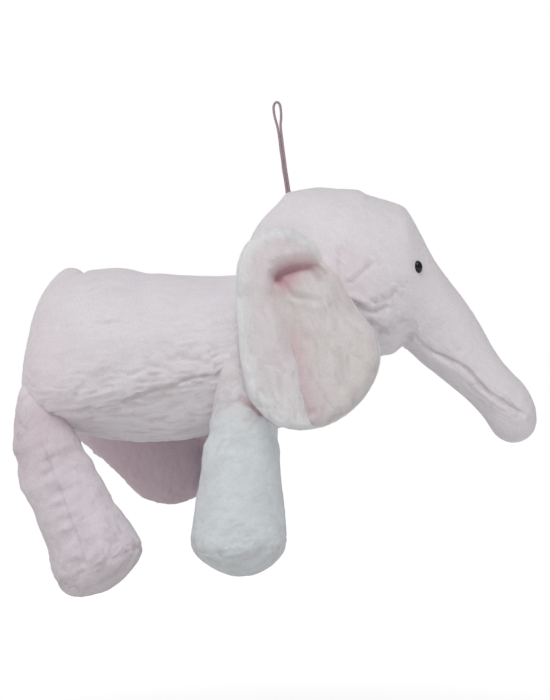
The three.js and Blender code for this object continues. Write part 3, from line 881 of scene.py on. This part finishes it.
def leg_blush_and_shade(name, sign, y, down, gathered, deeper):
    """The painted pink of a leg, mostly painted shade: the far one is shaded deepest on its inner side, the
    near hind one at its top under the torso, and a front one in the crease of its gathers, with a pinker
    top.
    """
    if name == "hind_left":
        # painted shade: the far leg, in the body's shadow, is darker pink, deepest on its inner side
        return (0.35 + 0.6 * ramp(sign * y, 8 * MM, -12 * MM)) * ramp(down, -5 * MM, 45 * MM)
    if name == "hind_right":
        # a little even pink, and painted shade at the top of the leg under the torso
        return 0.1 + 0.4 * ramp(down, 48 * MM, 8 * MM) * ramp(down, -30 * MM, -5 * MM)
    # painted shade in the crease of the gathers, and a pinker top
    return 0.55 * gathered * (0.3 + 0.7 * deeper) + 0.3 * ramp(down, 28 * MM, -8 * MM)


def leg(name, sections, forward, outward):
    sign = SIDES[name.split("_")[1]]
    hind = name.startswith("hind")
    rows = [(front, -down, back, -down, half, sign * out) for down, back, front, half, out in sections]
    piece = loft(f"leg_{name}_cover", rows)
    p = points_of(piece)
    x, y, z = p.T
    down = -z
    seed = 100 + 17 * list(LEGS).index(name)
    gap = np.abs(down - SOLE_SEAM + SOLE_TILT * np.cos(np.arctan2(y, x)))
    sewn = sole_relief(x, y, gap, hind, seed) + tube_seam_relief(x, y, down, sign, hind, seed + 2)
    # where the ear presses on a front leg, its fabric gathers
    pressed = (np.sign(y) == sign) * (not hind)
    beside, along, _ = nearest_on(GATHER, x, z)
    deeper = ramp(along, 3 * MM, 10 * MM)
    creased = noise(np.stack([x / 0.004, np.zeros(len(x)), down / 0.0035], 1), seed + 3)
    gathered = bell(beside, 2.2 * MM) * pressed
    sewn += 1.2 * MM * creased * bell(beside, 9 * MM) * pressed
    sewn -= 3.2 * MM * gathered * (0.5 + 0.5 * deeper)
    # rings of slack fabric near the hip
    slack = noise(np.stack([x / 0.03, y / 0.03, down / 0.0085], 1), seed + 5)
    sewn += 1.5 * MM * slack * ramp(down, 85 * MM, 15 * MM) * ramp(down, -12 * MM, 5 * MM)
    push(piece, sewn)
    rough = 0.1 if name == "hind_right" else 0.6 * hind
    height = (0.3 + 0.4 * bell(gap, 18 * MM) + rough + 0.25 * ramp(down, 40 * MM, 10 * MM)) * MM
    # painted shade along the sole's seam and in the ear's gathers
    crease_shade = (0.5 if hind else 0.15) * bell(gap, 1.5 * MM) + gathered
    add_pile(piece, p, (1, 0, 0.35), seed + 9, height, lumps=1.0 * MM, crease_shade=crease_shade)
    paint(piece, "blush_and_shade", leg_blush_and_shade(name, sign, y, down, gathered, deeper))
    where = (
        Matrix.Translation(Vector(HINGES[f"leg_{name}"]))
        @ Matrix.Rotation(math.radians(-forward), 4, "Y")
        @ Matrix.Rotation(math.radians(sign * outward), 4, "X")
    )
    piece.data.transform(where)
    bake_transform(piece)
    material, slot = (LEG_PINK, "plush_hind_leg") if hind else (LEG_WHITE, "plush_front_leg")
    dress(piece, material, slot, 0.7, f"leg_cover_{name}", f"leg_sole_{name}", f"leg_stuffing_{name}")


# ---------------------------------------------------------------- ears
EAR_SLANT = 7  # degrees that each ear hangs out from upright
EAR_REAR = [(24, -234.5), (14.5, -236), (-1, -232), (-10.5, -224), (-20.5, -211), (-25, -186),
            (-27.2, -160), (-28.4, -128), (-25, -112), (-17, -102), (-7, -96.8), (5, -94.8), (20, -99),
            (32, -107), (38.5, -115)]
EAR_FRONT = [(44, -125), (49, -139), (55, -150), (66, -166), (70.4, -182), (68.5, -197), (61.5, -210.5),
             (48.6, -224), (35, -231.5)]
EAR_VALLEY = [(33, -125), (28, -121), (20, -119.8), (10, -121.5), (2.5, -126), (-0.8, -132), (1.5, -142),
              (8.5, -154), (12, -168), (13.8, -180), (15.5, -194), (18, -208), (20.8, -221)]
LOBE = [(35, -230), (48, -222.8), (60.8, -209.5), (67.5, -196.5), (69.3, -182), (65, -166.5),
        (54.5, -150.5), (48, -139), (42, -127), (34, -119), (22, -114), (8, -116), (-5, -126),
        (-6, -140), (0, -156), (4, -172), (8, -192), (13, -212), (20, -227), (27, -231.5)]
EAR_RIM = closed_line(EAR_REAR + EAR_FRONT)
STRIP_RIM = closed_line(EAR_REAR + EAR_VALLEY)
LOBE_RIM = closed_line(LOBE)
STRIP_HEIGHT = 10.5 * MM  # of the roll along the top and the rear edge
LOBE_HEIGHT = 9.0 * MM
BACK_PLANE = 1.5 * MM  # where the middle of the back pad's edge is
LOBE_PLANE = 2.2 * MM
STRIP_DENTS = [
    # (x, z, how wide, how tall, depth)
    (15, -106.5, 6, 1.8, 1.6), (6, -112, 5, 2.5, 0.9), (-5, -122, 3.5, 2, 1.5), (-13, -150, 4, 9, 0.8),
    (-9, -176, 4, 8, 0.9), (-14, -199, 5, 5, 0.9), (2, -208, 4, 7, 0.8), (24, -112, 4, 3, 0.8),
]
LOBE_DENTS = [
    # (x, z, width, depth)
    (20.4, -173.9, 4, 1.3), (36.7, -174.5, 3.5, 1.1), (43.6, -205.2, 4, 1.0), (30, -160, 5, 0.9),
    (52, -186, 6, 0.8), (27, -196, 5, 0.9), (23.5, -224, 3, 2.2), (42, -163, 4, 0.8),
]
EAR_CREASE = line([(0.8, -129.8), (3.4, -126.8), (10, -124), (18, -122), (25, -122.5), (31, -128)])
EAR_FOLD = line([(3, -134), (6.1, -138.4), (8.8, -142.5), (17.7, -145.2), (29.3, -148)])
EAR_EDGE = line(EAR_VALLEY[2:], 60)
EAR_SEWN = line([(20, -101), (30, -107), (38, -115), (43, -125), (48, -138), (54, -149)])
EAR_ROOT = line([(0, -106), (14, -104), (30, -110), (40, -122), (47, -138)])
def tuck(x, z):
    """How far the ear is drawn in, where it is sewn to the head and at its slit."""
    sewn = distance_to(EAR_SEWN, x, z)
    slit = distance_to(EAR_CREASE, x, z)
    return -11 * MM * bell(sewn, 10 * MM) - 4.5 * MM * bell(slit, 6 * MM)


def soft_part(z):
    """Where the rolled strip runs gently into the lining, between the slit and the free flap."""
    return ramp(z, -134 * MM, -146 * MM) * ramp(z, -196 * MM, -182 * MM)


def back_front(x, z):
    deep = np.maximum(depth_in(STRIP_RIM, x, z), 0)
    gentle = soft_part(z)
    roll = (1 - gentle) * rounded(deep, 9.5 * MM) + gentle * ramp(deep, -2 * MM, 15 * MM)
    for ax, az, wide, tall, depth in STRIP_DENTS:
        near = np.hypot((x - ax * MM) / wide, (z - az * MM) / tall)
        roll = roll - depth * MM * bell(near, MM) / STRIP_HEIGHT
    full = STRIP_HEIGHT * (0.72 + 0.28 * ramp(z, -232 * MM, -190 * MM))
    fade = np.maximum(ramp(x - 0.2 * (z + 110 * MM), 40 * MM, 20 * MM), ramp(z, -135 * MM, -150 * MM))
    edge = 1.5 * MM * rounded(depth_in(EAR_RIM, x, z), 4 * MM)
    return BACK_PLANE + edge + roll * full * fade + tuck(x, z)


def back_back(x, z):
    root = distance_to(EAR_ROOT, x, z)
    deep = rounded(depth_in(EAR_RIM, x, z), 4 * MM)
    return BACK_PLANE - 1.5 * MM * deep + tuck(x, z) - 8 * MM * bell(root, 9 * MM) * deep


def lining_front(x, z):
    deep = depth_in(LOBE_RIM, x, z)
    dome = LOBE_HEIGHT * (0.55 * rounded(deep, 8 * MM) + 0.45 * rounded(deep, 24 * MM))
    dome -= 8 * MM * bell(distance_to(EAR_CREASE, x, z), 4.5 * MM)
    dome -= 2.6 * MM * bell(distance_to(EAR_EDGE, x, z), 9 * MM) * soft_part(z)
    fold, _, over = nearest_on(EAR_FOLD, x, z)
    uneven = 0.65 + 0.35 * noise(np.stack([x / 0.006, z / 0.02, z * 0], 1), 97)
    dome -= uneven * (2.8 * MM * bell(fold, 2.2 * MM) - 1.6 * MM * bell(fold - 4 * MM, 3 * MM) * (over < 0))
    dome += 1.3 * MM * bell(fold - 4.5 * MM, 3 * MM) * (over > 0)
    for ax, az, width, depth in LOBE_DENTS:
        dome -= depth * MM * bell(np.hypot(x - ax * MM, z - az * MM), width * MM)
    return LOBE_PLANE + np.maximum(dome, 1.3 * MM) + tuck(x, z)


def lining_back(x, z):
    return LOBE_PLANE - 1.2 * MM * rounded(depth_in(LOBE_RIM, x, z), 3 * MM) + tuck(x, z)


def back_blush_and_shade(x, z):
    """The rolled strip is warmer away from the ear's rim, with painted pink shade along the valley and in
    the slit.
    """
    low = ramp(z, -180 * MM, -215 * MM)
    warm = 0.36 * ramp(depth_in(EAR_RIM, x, z), 4 * MM, 13 * MM) * (1 - 0.5 * low)
    # painted pink shade along the valley and in the slit
    warm += 0.15 * bell(distance_to(EAR_EDGE, x, z), 8 * MM) * (1 - low)
    return warm + 0.6 * bell(distance_to(EAR_CREASE, x, z), 4 * MM)


def lining_pink_shade(x, z):
    """Painted pink shade on the lining, in the slit, in the pocket under it, partly the lining's own pink
    there, and along the low valley.
    """
    beside = bell(distance_to(EAR_EDGE, x, z), 11 * MM) * ramp(z, -140 * MM, -185 * MM)
    pocket = bell(np.hypot((x - 5 * MM) / 1.4, (z + 133 * MM) / 1.1), 8 * MM)
    slit = bell(distance_to(EAR_CREASE, x, z), 5 * MM) * ramp(x, 33 * MM, 20 * MM)
    return slit + pocket + 0.45 * beside


EAR_PARTS = {
    # (outline, height of its front, height of its back, blush and painted pink shade, material, fill, seed)
    "back": (EAR_REAR + EAR_FRONT, back_front, back_back, back_blush_and_shade, EAR_WHITE, 0.25, 300),
    "lining": (LOBE, lining_front, lining_back, lining_pink_shade, EAR_WARM, 0.4, 340),
}


EDGE_STEPS = 3000  # points on an ear's outline, to measure it
CLOSER_RINGS = 1.25  # the rings of an ear's points lie closer together towards its edge


def ear_slab(name, outline, front, back, sign):
    """A closed pad over an outline, with a height over the ear's plane for its front and its back.
    Gives its points' side view too, and which of them are on its front."""
    around = int(path_length(joined(closed_line(outline, EDGE_STEPS))) / GRID)
    edge = closed_line(outline, around)
    middle = edge.mean(axis=0)
    half = int(np.linalg.norm(edge - middle, axis=1).mean() / GRID * CLOSER_RINGS)
    share = np.sin(np.linspace(0, math.pi / 2, half + 1))[1:]
    spots = middle + (edge - middle)[None] * share[:, None, None]
    front_xz = np.vstack([middle[None], spots.reshape(-1, 2)])
    back_xz = np.vstack([spots[:-1][::-1].reshape(-1, 2), middle[None]])
    xz = np.vstack([front_xz, back_xz])
    height = np.concatenate([front(*front_xz.T), back(*back_xz.T)])
    rim = slice(1 + (half - 1) * around, 1 + half * around)
    height[rim] = (front(*front_xz[rim].T) + back(*front_xz[rim].T)) / 2
    points = np.stack([xz[:, 0], sign * height, xz[:, 1] - HINGES["ear_right"][2]], 1)
    piece = new_mesh(name, points, grid_faces(2 * half - 1, around))
    return piece, xz, np.arange(len(xz)) < len(front_xz)


def ears():
    for name, sign in SIDES.items():
        hinge = Vector(HINGES[f"ear_{name}"])
        where = Matrix.Translation(hinge) @ Matrix.Rotation(math.radians(sign * EAR_SLANT), 4, "X")
        for part, (outline, front, back, blush_and_shade, material, fill, seed) in EAR_PARTS.items():
            piece, xz, facing = ear_slab(f"ear_{name}_{part}", outline, front, back, sign)
            x, z = xz.T
            height = (0.42 + 0.25 * facing * ramp(z, -150 * MM, -200 * MM)) * MM
            add_pile(piece, points_of(piece), (0.25, 0, -1), seed, height, lumps=0.7 * MM)
            paint(piece, "blush_and_shade", facing * np.clip(blush_and_shade(x, z), 0, 1))
            piece.data.transform(where)
            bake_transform(piece)
            dress(piece, material, f"plush_ear_{part}", fill, f"ear_{part}_{name}")


# ---------------------------------------------------------------- the toy
camera()
for light_facts in LIGHTS:
    area_light(*light_facts)
surroundings()
studio_floor()
cord_loop()
torso()
eyes(head_and_trunk())
for leg_name, facts in LEGS.items():
    leg(leg_name, *facts)
ears()
for washer_side in SIDES:
    washer = frame["nodes"][f"eye_washer_{washer_side}"]
    washer.data.materials.clear()
    washer.data.materials.append(WASHER)
